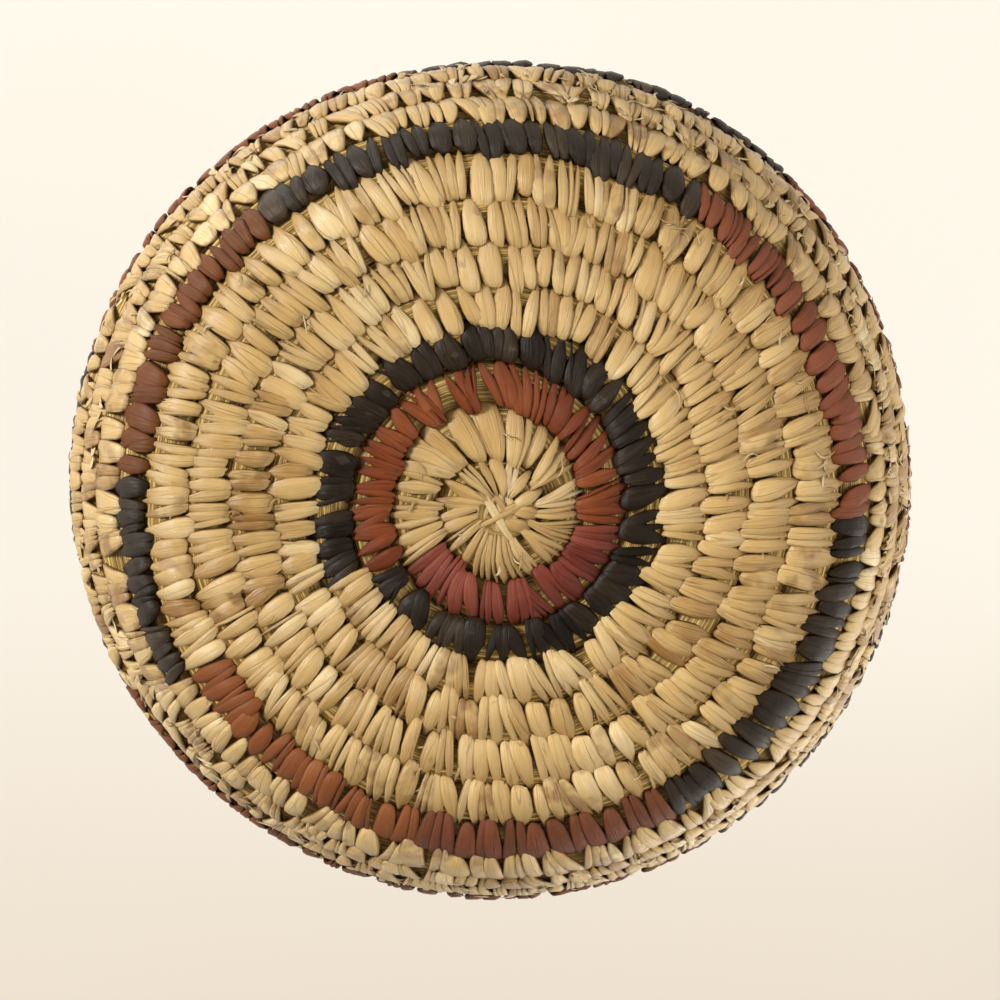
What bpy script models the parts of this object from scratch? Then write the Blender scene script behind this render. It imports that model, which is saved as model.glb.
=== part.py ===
"""Coiled basket: one bundle of grass wound into a bowl and sewn row to row.

Metres, +Z up. The basket stands on its base, rim up, with its origin at the middle of
the base's underside. The coil starts at the origin and every ring of colour starts on
one radius, START_LINE. Lengths along the coil are counted in turns from that radius.
"""

import math

import bmesh
import bpy
from mathutils import Vector

# Driving sizes, in metres
COIL_PITCH = 0.0094  # from one row of the coil to the next, along the wall
COIL_THICKNESS = 0.0086  # through the wall, over the sewing
FIRST_ROW_OFFSET = 0.0010  # how far from the middle the coil's first turn is on START_LINE
ROW_GAP = 0.0003  # between neighbouring rows
RUN_GAP = 0.0003  # between one strip's sewing and the next one's, along the coil
SEWING_THICKNESS = 0.0010
SEWING_CLEARANCE = 0.0003  # between the bundle and the sewing round it
KNOT_RADIUS = 0.0032
KNOT_THICKNESS = 0.0052
KNOT_EDGE = 0.0010  # how far the knot's faces are drawn in from its outline
TAIL_END_SHARE = 0.45  # the tail's size where its sewing ends, as a share of the full coil
BINDING_END_SHARE = 0.15  # the same where the binding that closes the tail comes to its tip

# Driving angles, in degrees, and counts of turns
START_LINE = 209.0
TURNS = 14.0
START_TURN = 0.25  # the bundle is bent round the knot from here
TAIL_TURNS = 0.20  # the last stretch, which thins to the tail
BINDING_TURNS = 0.025  # past the tail's end
POINTS_PER_TURN = 24
STEPS_PER_POINT = 8  # for adding up the wall's slope
SIDES = 6
SMOOTH_BELOW = math.radians(40)

# Tolerances
LEAST_STEP = 0.005  # an end of a strip's sewing this near a point, in steps, takes its place
WELD_DISTANCE = 1e-6

# How steeply the wall rises at each turn: flat base, round shoulder, steep side
WALL_SLOPES = (
    (5.5, 0.0),
    (7.5, 16.0),
    (8.5, 42.0),
    (9.5, 59.0),
    (11.5, 67.0),
    (12.5, 80.0),
    (13.5, 85.0),
)

NATURAL = (0.62, 0.45, 0.22, 1.0)
GRASS = (0.47, 0.33, 0.12, 1.0)
MAROON = (0.20, 0.055, 0.055, 1.0)
BRICK = (0.19, 0.055, 0.032, 1.0)
DARK = (0.030, 0.027, 0.029, 1.0)

# Each strip's sewing: its name, the turns where it starts and ends, and its colour
SEWING_RUNS = (
    ("row_01_natural", START_TURN, 1.0, NATURAL),
    ("row_02_natural", 1.0, 2.0, NATURAL),
    ("ring_03_maroon", 2.0, 2.39, MAROON),
    ("ring_03_brick", 2.39, 3.0, BRICK),
    ("ring_04_dark", 3.0, 4.0, DARK),
    ("row_05_natural", 4.0, 5.0, NATURAL),
    ("row_06_natural", 5.0, 6.0, NATURAL),
    ("row_07_natural", 6.0, 7.0, NATURAL),
    ("row_08_natural", 7.0, 8.0, NATURAL),
    ("shoulder_band_1_brick", 8.0, 8.125, BRICK),
    ("shoulder_band_1_maroon", 8.125, 8.25, MAROON),
    ("shoulder_band_2_dark", 8.25, 8.415, DARK),
    ("shoulder_band_3_red", 8.415, 8.583, MAROON),
    ("shoulder_band_4_dark", 8.583, 8.78, DARK),
    ("shoulder_band_5_red", 8.78, 8.91, BRICK),
    ("shoulder_band_6_dark", 8.91, 9.0, DARK),
    ("row_10_natural", 9.0, 10.0, NATURAL),
    ("row_11_natural", 10.0, 11.0, NATURAL),
    ("row_12_natural", 11.0, 12.0, NATURAL),
    ("wall_band_1_red", 12.0, 12.25, BRICK),
    ("wall_band_2_dark", 12.25, 12.39, DARK),
    ("wall_band_3_red", 12.39, 12.548, MAROON),
    ("wall_band_4_dark", 12.548, 12.70, DARK),
    ("wall_band_5_red", 12.70, 12.87, BRICK),
    ("wall_band_6_dark", 12.87, 13.0, DARK),
    ("rim_row_natural", 13.0, TURNS - TAIL_TURNS, NATURAL),
    ("rim_tail_natural", TURNS - TAIL_TURNS, TURNS, NATURAL),
)

# Worked out from the sizes above
HALF_WIDTH = (COIL_PITCH - ROW_GAP) / 2
HALF_THICKNESS = COIL_THICKNESS / 2
POINT_STEP = 1.0 / POINTS_PER_TURN
HALF_POINT = POINT_STEP / 2
SIDE_ANGLE = 2 * math.pi / SIDES


def clear_scene():
    for obj in list(bpy.data.objects):
        bpy.data.objects.remove(obj, do_unlink=True)


def wall_slope(turn):
    """The wall's slope in radians where the coil has made this many turns."""
    before = WALL_SLOPES[0]
    for after in WALL_SLOPES[1:]:
        if turn < after[0]:
            share = max(0.0, (turn - before[0]) / (after[0] - before[0]))
            return math.radians(before[1] + share * (after[1] - before[1]))
        before = after
    return math.radians(before[1])


def wall_profile():
    """Radius and height of the coil's middle at each point of one more turn than it has."""
    step = POINT_STEP / STEPS_PER_POINT
    radius, height = FIRST_ROW_OFFSET, 0.0
    points = [(radius, height)]
    for point in range(int((TURNS + 1) * POINTS_PER_TURN)):
        for part in range(STEPS_PER_POINT):
            slope = wall_slope(point * POINT_STEP + (part + 0.5) * step)
            radius += COIL_PITCH * step * math.cos(slope)
            height += COIL_PITCH * step * math.sin(slope)
        points.append((radius, height))
    return points


PROFILE = wall_profile()


def on_profile(turn):
    """Radius and height of the wall's middle line at any turn, before or past the coil too."""
    place = min(max(turn * POINTS_PER_TURN, 0.0), len(PROFILE) - 2.0)
    first = int(place)
    (r1, z1), (r2, z2) = PROFILE[first], PROFILE[first + 1]
    return r1 + (place - first) * (r2 - r1), z1 + (place - first) * (z2 - z1)


def inner_edge(turn):
    """How far the coil's edge towards the start lies from the first turn's middle line."""
    return max(KNOT_RADIUS + ROW_GAP - FIRST_ROW_OFFSET, COIL_PITCH * turn - HALF_WIDTH)


def size_share(turn):
    """The coil's size at a turn: smaller round the knot, thinning to nothing at the tail."""
    opening = (COIL_PITCH * turn + HALF_WIDTH - inner_edge(turn)) / (2 * HALF_WIDTH)
    if turn <= TURNS:
        along_tail = max(0.0, (turn - (TURNS - TAIL_TURNS)) / TAIL_TURNS)
        return min(opening, 1.0 - (1.0 - TAIL_END_SHARE) * along_tail)
    along_binding = (turn - TURNS) / BINDING_TURNS
    return TAIL_END_SHARE + (BINDING_END_SHARE - TAIL_END_SHARE) * along_binding


def section_on_point(turn, half_width, half_thickness):
    """The six corners of the coil's section at a turn, in the upright plane through the axis.

    The section leans as the wall does a little nearer the start, where it is sewn on.
    """
    share = size_share(turn)
    edge = inner_edge(turn)
    radius, height = on_profile((edge + share * HALF_WIDTH) / COIL_PITCH)
    slope = wall_slope((edge + share * HALF_WIDTH / 2) / COIL_PITCH)
    if turn < 1.0:
        height = -(1.0 - share) * HALF_THICKNESS
    angle = math.radians(START_LINE + 360.0 * turn)
    outwards = Vector((math.cos(angle), -math.sin(angle), 0.0))
    along_wall = outwards * math.cos(slope) + Vector((0.0, 0.0, math.sin(slope)))
    through_wall = outwards * -math.sin(slope) + Vector((0.0, 0.0, math.cos(slope)))
    middle = outwards * radius + Vector((0.0, 0.0, HALF_THICKNESS + height))
    half_width -= HALF_WIDTH * (1.0 - share)
    half_thickness -= HALF_THICKNESS * (1.0 - share)
    corners = []
    for side in range(SIDES):
        across = half_width * math.cos(side * SIDE_ANGLE)
        through = half_thickness * math.sin(side * SIDE_ANGLE) / math.sin(SIDE_ANGLE)
        corners.append(middle + along_wall * across + through_wall * through)
    return corners


def section(turn, half_width, half_thickness):
    """The section at any turn, on the straight stretch between the coil's points."""
    place = turn * POINTS_PER_TURN
    first = math.floor(place)
    near = section_on_point(first * POINT_STEP, half_width, half_thickness)
    far = section_on_point((first + 1) * POINT_STEP, half_width, half_thickness)
    return [a.lerp(b, place - first) for a, b in zip(near, far)]


def turns_between(start, end):
    """Start, every point of the coil that lies between, and end."""
    first = math.floor(start * POINTS_PER_TURN + LEAST_STEP) + 1
    last = math.ceil(end * POINTS_PER_TURN - LEAST_STEP)
    return [start] + [point * POINT_STEP for point in range(first, last)] + [end]


def new_ring(bm, places):
    verts = [bm.verts.new(place) for place in places]
    for first, second in zip(verts, verts[1:] + verts[:1]):
        bm.edges.new((first, second))
    return verts


def ring_edges(bm, ring):
    return [bm.edges.get(pair) for pair in zip(ring, ring[1:] + ring[:1])]


def extrude_ring(bm, ring, places):
    """Extrudes a closed ring of vertices and sets its copy down on places."""
    made = bmesh.ops.extrude_edge_only(bm, edges=ring_edges(bm, ring))["geom"]
    fresh = {item for item in made if isinstance(item, bmesh.types.BMVert)}
    copy = []
    for vert, place in zip(ring, places):
        twin = next(e.other_vert(vert) for e in vert.link_edges if e.other_vert(vert) in fresh)
        twin.co = place
        copy.append(twin)
    return copy


def sweep(bm, rings):
    """Runs one ring through all the places given, and returns its first and last rings."""
    first = new_ring(bm, rings[0])
    last = first
    for places in rings[1:]:
        last = extrude_ring(bm, last, places)
    return first, last


def material(name, colour, roughness):
    found = bpy.data.materials.get(name)
    if found:
        return found
    made = bpy.data.materials.new(name)
    made.use_nodes = True
    shader = made.node_tree.nodes["Principled BSDF"]
    shader.inputs["Base Color"].default_value = colour
    shader.inputs["Roughness"].default_value = roughness
    shader.inputs["Metallic"].default_value = 0.0
    return made


def finish(bm, name, colour, roughness=0.6):
    bmesh.ops.recalc_face_normals(bm, faces=bm.faces)
    mesh = bpy.data.meshes.new(name)
    bm.to_mesh(mesh)
    bm.free()
    mesh.materials.append(material(name + "_finish", colour, roughness))
    mesh.shade_smooth()
    mesh.set_sharp_from_angle(angle=SMOOTH_BELOW)
    obj = bpy.data.objects.new(name, mesh)
    bpy.context.scene.collection.objects.link(obj)
    return obj


def inset_sizes(depth):
    """Half width and half thickness of the coil's section drawn in by a depth on every face."""
    slant = math.hypot(HALF_WIDTH / 2, HALF_THICKNESS)
    return HALF_WIDTH - depth * slant / HALF_THICKNESS, HALF_THICKNESS - depth


def foundation_coil():
    """The bundle of grass: one unbroken tube from the knot to the tail."""
    half_width, half_thickness = inset_sizes(SEWING_THICKNESS + SEWING_CLEARANCE)
    turns = turns_between(START_TURN, TURNS)
    rings = [section(turn, half_width, half_thickness) for turn in turns]
    bm = bmesh.new()
    first, last = sweep(bm, rings)
    bmesh.ops.contextual_create(bm, geom=ring_edges(bm, first))
    bmesh.ops.contextual_create(bm, geom=ring_edges(bm, last))
    finish(bm, "foundation_coil", GRASS, 0.7)
    return rings


def sewing_run(name, start, end, colour):
    """One strip's sewing round the bundle: a sleeve, open at both ends."""
    half_run_gap = RUN_GAP / 2 / (2 * math.pi * on_profile(start)[0])
    start_turn = start if start == START_TURN else start + half_run_gap
    end_turn = end if end == TURNS else end - half_run_gap
    turns = turns_between(start_turn, end_turn)
    inner_width, inner_thickness = inset_sizes(SEWING_THICKNESS)
    outer = [section(turn, HALF_WIDTH, HALF_THICKNESS) for turn in turns]
    inner = [section(turn, inner_width, inner_thickness) for turn in turns]
    bm = bmesh.new()
    first, last = sweep(bm, outer + inner[::-1] + outer[:1])
    bmesh.ops.remove_doubles(bm, verts=first + last, dist=WELD_DISTANCE)
    finish(bm, name, colour)


def start_knot():
    """The bent-over start of the bundle, a button that fills the middle of the first turn."""
    outline = []
    for point in range(POINTS_PER_TURN):
        turn = point * POINT_STEP
        facing = turn + 1.0 if turn < START_TURN - HALF_POINT else turn
        angle = math.radians(START_LINE + 360.0 * turn)
        reach = FIRST_ROW_OFFSET + inner_edge(facing) - ROW_GAP
        outline.append(Vector((math.cos(angle), -math.sin(angle), 0.0)) * reach)
    up = Vector((0.0, 0.0, 1.0))
    drawn_in = [place - place.normalized() * KNOT_EDGE for place in outline]
    rings = (
        drawn_in,
        [place + up * KNOT_EDGE for place in outline],
        [place + up * (KNOT_THICKNESS - KNOT_EDGE) for place in outline],
        [place + up * KNOT_THICKNESS for place in drawn_in],
    )
    bm = bmesh.new()
    first, last = sweep(bm, rings)
    bmesh.ops.contextual_create(bm, geom=ring_edges(bm, first))
    bmesh.ops.contextual_create(bm, geom=ring_edges(bm, last))
    finish(bm, "start_knot", NATURAL)


def tail_binding():
    """The last strip, wound to a point over the tail's end and run back under the sewing."""
    start = TURNS + RUN_GAP / (2 * math.pi * on_profile(TURNS)[0])
    end = TURNS + BINDING_TURNS
    rings = [section(turn, HALF_WIDTH, HALF_THICKNESS) for turn in (start, end)]
    bm = bmesh.new()
    first, last = sweep(bm, rings)
    bmesh.ops.contextual_create(bm, geom=ring_edges(bm, first))
    bmesh.ops.contextual_create(bm, geom=ring_edges(bm, last))
    finish(bm, "tail_binding", NATURAL)


def least_coil_gap(rings):
    """The least distance between corners of the bundle one turn or more apart."""
    least = math.inf
    for first in range(len(rings) - POINTS_PER_TURN):
        for offset in (-1, 0, 1):
            second = first + POINTS_PER_TURN + offset
            if second < len(rings):
                gaps = ((a - b).length for a in rings[first] for b in rings[second])
                least = min(least, min(gaps))
    return least


def build():
    clear_scene()
    start_knot()
    rings = foundation_coil()
    for run in SEWING_RUNS:
        sewing_run(*run)
    tail_binding()
    gap = least_coil_gap(rings)
    print(f"least gap of the foundation coil to itself: {gap * 1000:.2f} mm")


build()
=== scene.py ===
"""Looks of a coiled basket: a grass bundle wound into a bowl and sewn with leaf strips.

Metres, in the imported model's frame: +Z up, origin under the middle of the base. The coil's
place is given by three numbers: turns from the line where every ring of colour starts,
metres across its row, away from the start, and metres through the wall, into the bowl.
"""

import collections
import math

import bmesh
import bpy
import numpy as np
from mathutils import Matrix, Vector


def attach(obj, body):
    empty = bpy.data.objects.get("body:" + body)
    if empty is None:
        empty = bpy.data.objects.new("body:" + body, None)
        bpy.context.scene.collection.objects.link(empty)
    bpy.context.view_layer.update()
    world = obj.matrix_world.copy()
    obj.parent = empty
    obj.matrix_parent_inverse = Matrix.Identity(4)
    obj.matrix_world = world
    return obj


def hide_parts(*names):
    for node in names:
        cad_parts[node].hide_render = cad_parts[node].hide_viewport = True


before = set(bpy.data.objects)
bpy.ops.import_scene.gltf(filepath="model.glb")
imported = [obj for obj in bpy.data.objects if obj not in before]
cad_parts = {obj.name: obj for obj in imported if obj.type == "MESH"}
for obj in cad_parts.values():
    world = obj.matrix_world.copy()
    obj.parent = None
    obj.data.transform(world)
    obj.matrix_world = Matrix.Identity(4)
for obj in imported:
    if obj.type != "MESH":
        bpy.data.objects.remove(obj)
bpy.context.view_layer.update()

# The coil's driving sizes, as the solids have them
COIL_PITCH = 0.0094
COIL_THICKNESS = 0.0086
FIRST_ROW_OFFSET = 0.0010
ROW_GAP = 0.0003
KNOT_RADIUS = 0.0032
TAIL_END_SHARE = 0.45
BINDING_END_SHARE = 0.15
START_LINE = 209.0
TURNS = 14.0
START_TURN = 0.25
TAIL_TURNS = 0.20
BINDING_TURNS = 0.025
WALL_SLOPES = (
    (5.5, 0.0), (7.5, 16.0), (8.5, 42.0), (9.5, 59.0), (11.5, 67.0), (12.5, 80.0), (13.5, 85.0),
)
HALF_WIDTH = (COIL_PITCH - ROW_GAP) / 2
HALF_THICKNESS = COIL_THICKNESS / 2
PROFILE_STEPS = 192  # for each turn
LEAST_RADIUS = 0.0004  # of any point of the wall
WELD_DISTANCE = 1e-7

# How the coil strays from a true one: by turn, metres farther out, metres off the centre and
# the bearing that it is off towards, metres out of round and the bearing of its long way
ROW_STRAYS = (
    (0.3, 0.0, 0.0, 210.0, 0.0, 78.0),
    (2.0, 0.0014, 0.0010, 203.0, 0.0005, 78.0),
    (4.0, 0.0012, 0.0006, 260.0, 0.0004, 78.0),
    (6.5, 0.0005, 0.0002, 300.0, 0.0003, 70.0),
    (8.2, 0.0002, 0.0006, 360.0, 0.0004, 45.0),
    (9.2, -0.0004, 0.0002, 360.0, 0.0012, 62.0),
    (10.5, -0.0002, 0.0, 360.0, 0.0006, 62.0),
    (12.0, 0.0, 0.0, 360.0, 0.0, 62.0),
)
WIDE_TURN = 9.0  # the shoulder's banded row is wider on one side
WIDENING = 0.0008
WIDE_SIDE_END = 0.2  # bearing in radians
# How its rows waver: share of the whole, waves in a turn, and radians that they are moved on by
# each metre along the wall and from the start
WAVERS = ((1.0, 3, 110, 0.0), (0.7, 7, -160, 1.3), (0.5, 13, 90, 2.1))
WAVER = 0.00020
WAVER_GROWS_OVER = 0.03  # metres along the wall
WALL_LEAN = 0.0013
WALL_LEAN_TOWARDS = math.radians(123.0)
CORNERS = 0.0007  # how far the wall is from round, three times a turn
CORNERS_BEARING = 3.0  # in radians
LEAN_POWER = 6  # both grow with this power of the sine of the wall's slope
# The rim's row is pulled in behind the banded one: how far, and from which turn over how many
RIM_DRAWN_IN = 0.0019
RIM_DRAWN_TURNS = (12.8, 0.6)
# And the banded one behind the row before it: by share of a turn from the start line
BAND_DRAWN_TURNS = (11.8, 0.4)
BAND_DRAWN_IN = (
    (0.00, 0.0003), (0.10, 0.0), (0.20, 0.0010), (0.30, 0.0010), (0.42, 0.0013), (0.50, 0.0009),
    (0.54, 0.0002), (0.62, 0.0), (0.65, 0.0009), (0.70, 0.0009), (0.73, 0.0002), (0.81, 0.0002),
    (0.86, 0.0011), (0.96, 0.0011), (1.00, 0.0003),
)

NATURAL = "natural_strips"
MAROON = "maroon_strips"
BRICK = "brick_red_strips"
DARK = "dark_strips"

# Each strip's sewing: its node, the turn where it ends and the next one starts, and its slot
SEWING_RUNS = (
    ("row_01_natural", 1.0, NATURAL),
    ("row_02_natural", 2.0, NATURAL),
    ("ring_03_maroon", 2.39, MAROON),
    ("ring_03_brick", 3.0, BRICK),
    ("ring_04_dark", 4.0, DARK),
    ("row_05_natural", 5.0, NATURAL),
    ("row_06_natural", 6.0, NATURAL),
    ("row_07_natural", 7.0, NATURAL),
    ("row_08_natural", 8.0, NATURAL),
    ("shoulder_band_1_brick", 8.125, BRICK),
    ("shoulder_band_1_maroon", 8.25, MAROON),
    ("shoulder_band_2_dark", 8.415, DARK),
    ("shoulder_band_3_red", 8.583, MAROON),
    ("shoulder_band_4_dark", 8.78, DARK),
    ("shoulder_band_5_red", 8.91, BRICK),
    ("shoulder_band_6_dark", 9.0, DARK),
    ("row_10_natural", 10.0, NATURAL),
    ("row_11_natural", 11.0, NATURAL),
    ("row_12_natural", 12.0, NATURAL),
    ("wall_band_1_red", 12.25, BRICK),
    ("wall_band_2_dark", 12.39, DARK),
    ("wall_band_3_red", 12.548, MAROON),
    ("wall_band_4_dark", 12.70, DARK),
    ("wall_band_5_red", 12.87, BRICK),
    ("wall_band_6_dark", 13.0, DARK),
    ("rim_row_natural", TURNS - TAIL_TURNS, NATURAL),
    ("rim_tail_natural", TURNS, NATURAL),
)

# The bundle of grass
STEMS = 36
POINTS_ROUND = STEMS * 2
BUNDLE_OUTER_WIDTH = 0.00330  # from its middle line to its outer edge
BUNDLE_INNER_WIDTH = 0.00640  # and to the row before, which it is pulled against
BUNDLE_HALF_THICKNESS = 0.00298
STEM_RIDGE = 0.00012
STEM_UNEVENNESS = 0.00010
STRAY_SECTIONS = 7  # a stem strays smoothly over as many sections as this
# How the bundle twists: radians, radians more for each turn, and radians at the start
TWISTS = ((0.30, 5.1, 0.0), (0.12, 23.0, 1.0))
BUNDLE_START = -0.12  # where its bent end is thinned to nothing
BUNDLE_STEP = 0.0045  # between its sections, along the coil
BUNDLE_TURN_STEP = 1 / 36  # and the most there is, in turns

# The stitches' distance from one to the next, by turn
STITCH_SPACING = (
    (0.25, 0.0022), (1.0, 0.0030), (1.2, 0.0042), (1.35, 0.0030), (1.5, 0.0032), (1.65, 0.0052),
    (1.8, 0.0048), (1.9, 0.0034), (1.99, 0.0036), (2.0, 0.0054), (2.5, 0.0045), (3.5, 0.0045),
    (5.0, 0.0043), (8.05, 0.0046), (8.1, 0.0053), (8.24, 0.0053), (8.3, 0.0046), (9.0, 0.0048),
    (10.0, 0.0048), (10.2, 0.0042), (12.0, 0.0042), (12.1, 0.0050), (14.0, 0.0050),
)
SPACING_SPREAD = 0.20
STITCH_REACH = 0.00455  # from the bundle's middle line round its outer edge
OUTSIDE_RISE = 0.00425  # from the wall's middle to the top of a stitch, outside the bowl
INSIDE_RISE = 0.00412
CENTRE_CLEAR = 0.0030  # the first stitches come out this far from the basket's centre
CROWN = 0.00125  # how far a strip's edges lie below its middle
ROLL = 0.00020  # how far one edge lies higher than the other, as each stitch laps the last
ROLL_SPREAD = 0.00010
CREASE = 0.00010  # how far the strip's face is creased up or down
BOW = 0.00022  # how far a stitch bends aside half way along
# How far its two edges differ, as shares of its width, and the bounds of its inner width, its
# outer width and its widest place
UNEVEN = 0.11
EDGE_BOUNDS = ((0.3, 1.0), (0.06, 1.1), (0.25, 0.8))
INSIDE_EDGES = (0.75, 0.5, 0.5)  # the same three inside the bowl, where the second is the least
OUTER_TAPER = 1.3  # the power with which a stitch narrows to its outer end
# How stitches of one style differ, as shares: least and greatest
BITE_SPREAD = (0.6, 1.4)
RISE_SPREAD = (0.94, 1.0)
COVER_SPREAD = (0.86, 1.08)
CROWN_SPREAD = (0.85, 1.1)
INSIDE_LEAN_SPREAD = (-0.4, 0.6)
OUTER_LEAN = 0.6  # the share of its lean that a stitch has past its middle
LEAST_NARROWING = 0.6  # of a stitch towards the middle of the base
# A narrow part of a stitch is flatter and lies lower than a whole one
LEAST_CROWN = 0.55
CROWN_BY_WIDTH = 0.45
PART_SINKS = 0.05

# The strips' colours: how their tone differs by leaf, by stitch and by part of a stitch
MIDDLE_TONE = 0.5
LEAF_TONE_SPREAD = 0.045
STITCH_TONE_SPREAD = 0.07
PART_TONE_SPREAD = 0.03
LOOSE_TONE = (0.55, 0.12)  # mean and spread, of the fibres and the crossing strips
BINDING_TONE = (0.5, 0.08)
STAIN_CHANCE = 0.07
STAINED_FROM = 7.0  # from this turn on more of the stitches have brown stains
STAINED_ROW_CHANCE = 0.42
STAIN_DEPTH = (0.4, 1.0)
GOLDEN_CHANCE = 0.014
GOLDEN = 0.22  # how much deeper the tone of such a strip is
FADED_FROM = 8.0  # the red strips of the outer rows have faded in the light
FADED = 0.12
WORN_TO = 2.0  # and the middle of the base is worn and yellowed
WORN = 0.16
# How much lower the tone of some runs is: painted shade on the first wall band, and on the fifth
# shoulder band painted shade against the lamps' light on that side; the other runs are only darker
SHADED_AND_DARKER_RUNS = {
    "shoulder_band_1_maroon": 0.22,
    "shoulder_band_5_red": 0.42,
    "wall_band_1_red": 0.30,
    "wall_band_5_red": 0.18,
}

# How the stitches are made
HOOK_IN_GAP = 0.36  # a stitch nearer than this share of a spacing to a gap hooks into it
FIRST_SPLIT_TURN = 1.6  # the awl splits no stitch before this
SLIVER_CHANCE = 0.16  # that a stitch has a torn sliver lying along it
LEAF_STITCHES = 11  # how many stitches one leaf strip makes before the next is spliced on
MOST_TEARS = 2
# The lobes of a torn stitch: how their widths differ, how much they overlap, and how far they
# lie from its middle at its inner end and at its outer one, where it is torn or the awl split it
LOBE_WIDTHS = (0.6, 1.4)
LOBE_OVERLAP = (1.1, 1.35)
LOBES_INNER = 0.66
TORN_OUTER = (0.95, 1.1)
SPLIT_OUTER = (1.15, 1.45)
# The parts of a stitch: how far each lies aside at its inner and its outer end, and its width,
# all as shares of the stitch's half width. A sliver's inner end lies anywhere between two bounds
WHOLE = ((0.0, 0.0, 1.0),)
BESIDE_SLIVER = (-0.10, -0.14, 0.88)
SLIVER_INNER = (-0.6, 0.7)
SLIVER_OUTER = 0.92
SLIVER_WIDTH = 0.22

# How the stitches of a row look, from a turn on: how far each bites into the row before, its
# width at its inner and outer ends, where it is widest and where it has come to its outer
# width, how much of its space it covers, how many tears it has, how deep its edges lie, and
# how many degrees it leans and by how much that differs
Style = collections.namedtuple(
    "Style", "turn bite inner outer widest tip cover tears depth lean lean_spread"
)
STYLES = [Style(*row) for row in (
    (0.0, 0.0016, 0.80, 0.22, 0.45, 1.00, 1.24, 0.3, 0.9, 8.0, 5.0),
    (1.0, 0.0024, 0.80, 0.20, 0.40, 1.00, 1.20, 0.9, 0.9, 8.0, 5.0),
    (1.58, 0.0026, 0.84, 0.62, 0.50, 1.00, 1.20, 0.2, 0.8, 8.0, 5.0),
    (1.84, 0.0024, 0.80, 0.14, 0.40, 1.00, 1.24, 1.1, 0.9, 8.0, 5.0),
    (2.0, 0.0024, 0.95, 0.35, 0.45, 0.97, 1.22, 2.2, 0.7, 8.0, 5.0),
    (2.45, 0.0022, 0.85, 0.14, 0.40, 0.96, 1.30, 1.2, 0.8, 8.0, 5.0),
    (3.0, 0.0022, 0.95, 0.08, 0.36, 0.95, 1.34, 0.25, 0.8, 8.0, 5.0),
    (4.0, 0.0036, 0.88, 0.12, 0.42, 0.99, 1.20, 0.35, 0.9, 11.0, 6.0),
    (7.0, 0.0037, 0.86, 0.10, 0.42, 0.97, 1.20, 0.35, 0.9, 11.0, 6.0),
    (8.0, 0.0036, 0.60, 0.08, 0.42, 0.92, 1.22, 0.3, 0.7, 12.0, 6.0),
    (8.1, 0.0032, 0.60, 0.86, 0.66, 1.00, 1.12, 0.04, 0.6, 10.0, 4.0),
    (8.25, 0.0036, 0.60, 0.08, 0.42, 0.90, 1.20, 0.3, 0.7, 12.0, 6.0),
    (9.0, 0.0042, 0.66, 0.60, 0.50, 1.00, 1.18, 0.3, 0.7, 12.0, 8.0),
    (9.2, 0.0042, 0.50, 0.34, 0.52, 1.00, 1.20, 0.5, 0.8, 14.0, 12.0),
    (9.8, 0.0042, 0.70, 0.66, 0.50, 1.00, 1.18, 0.3, 0.7, 10.0, 8.0),
    (10.0, 0.0040, 0.62, 0.36, 0.50, 1.00, 1.22, 0.9, 0.8, 15.0, 14.0),
    (12.0, 0.0014, 0.60, 0.50, 0.50, 1.00, 1.06, 0.3, 0.6, 10.0, 8.0),
    (13.0, 0.0012, 0.70, 0.96, 0.60, 1.00, 1.14, 0.2, 0.9, 8.0, 5.0),
)]

# The way round a stitch: how far from its inner end to its outer edge, how high above the
# wall's middle, and its width there. Outside the bowl first, then back inside it
WAY_ROUND = np.array((
    (0.10, -0.42, 0.45), (0.00, -0.70, 0.68), (0.03, -0.86, 0.88), (0.14, -1.00, 1.0),
    (0.31, -1.06, 1.0), (0.52, -0.99, 1.0), (0.73, -0.83, 1.0), (0.90, -0.59, 1.0),
    (1.00, 0.00, 1.0), (0.88, 0.70, 1.0), (0.64, 0.97, 1.0), (0.32, 0.99, 1.0),
    (0.06, 0.80, 0.85), (0.06, 0.40, 0.60),
))
STATIONS = len(WAY_ROUND)
STATION_ANGLES = np.arange(STATIONS) * math.tau / STATIONS  # for the strips that lie flat
OUTSIDE = WAY_ROUND[:, 1] <= 0.0
# Across a stitch: share of its half width, and how far it falls, as a share of its crown
ACROSS = np.array((
    (-1.0, 1.0), (-0.82, 0.24), (-0.34, 0.02), (0.34, 0.02), (0.82, 0.24), (1.0, 1.0),
))
SIDES = len(ACROSS)
CREASED = np.array((0.0, 0.6, 1.0, 1.0, 0.6, 0.0))


def table(pairs):
    """A function that reads between the rows of a table of pairs."""
    places, values = zip(*pairs)
    return lambda place: np.interp(place, places, values)


def ramp(value, start, over):
    """Rises from 0 at the start to 1, over the distance given."""
    return np.clip((value - start) / over, 0.0, 1.0)


spacing_at = table(STITCH_SPACING)
degrees_at = table(WALL_SLOPES)
band_drawn_in_at = table(BAND_DRAWN_IN)
farther_at, off_centre_at, off_towards, oval_at, oval_towards = (
    table([(row[0], row[column]) for row in ROW_STRAYS]) for column in range(1, 6)
)


def wall_slope(turn):
    return np.radians(degrees_at(turn))


def wall_profile():
    """Distance along the wall, radius and height of its middle at every step."""
    steps = np.arange(int((TURNS + 1) * PROFILE_STEPS))
    length = COIL_PITCH / PROFILE_STEPS
    slopes = wall_slope((steps + 0.5) / PROFILE_STEPS)
    radius = FIRST_ROW_OFFSET + np.append(0.0, np.cumsum(length * np.cos(slopes)))
    height = np.append(0.0, np.cumsum(length * np.sin(slopes)))
    return np.append(steps, len(steps)) * length, radius, height


PROFILE_LENGTH, PROFILE_RADIUS, PROFILE_HEIGHT = wall_profile()


def wall_radius(length):
    before_start = np.minimum(length, 0.0)
    radius = np.interp(length, PROFILE_LENGTH, PROFILE_RADIUS) + before_start
    return np.maximum(radius, LEAST_RADIUS)


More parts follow.
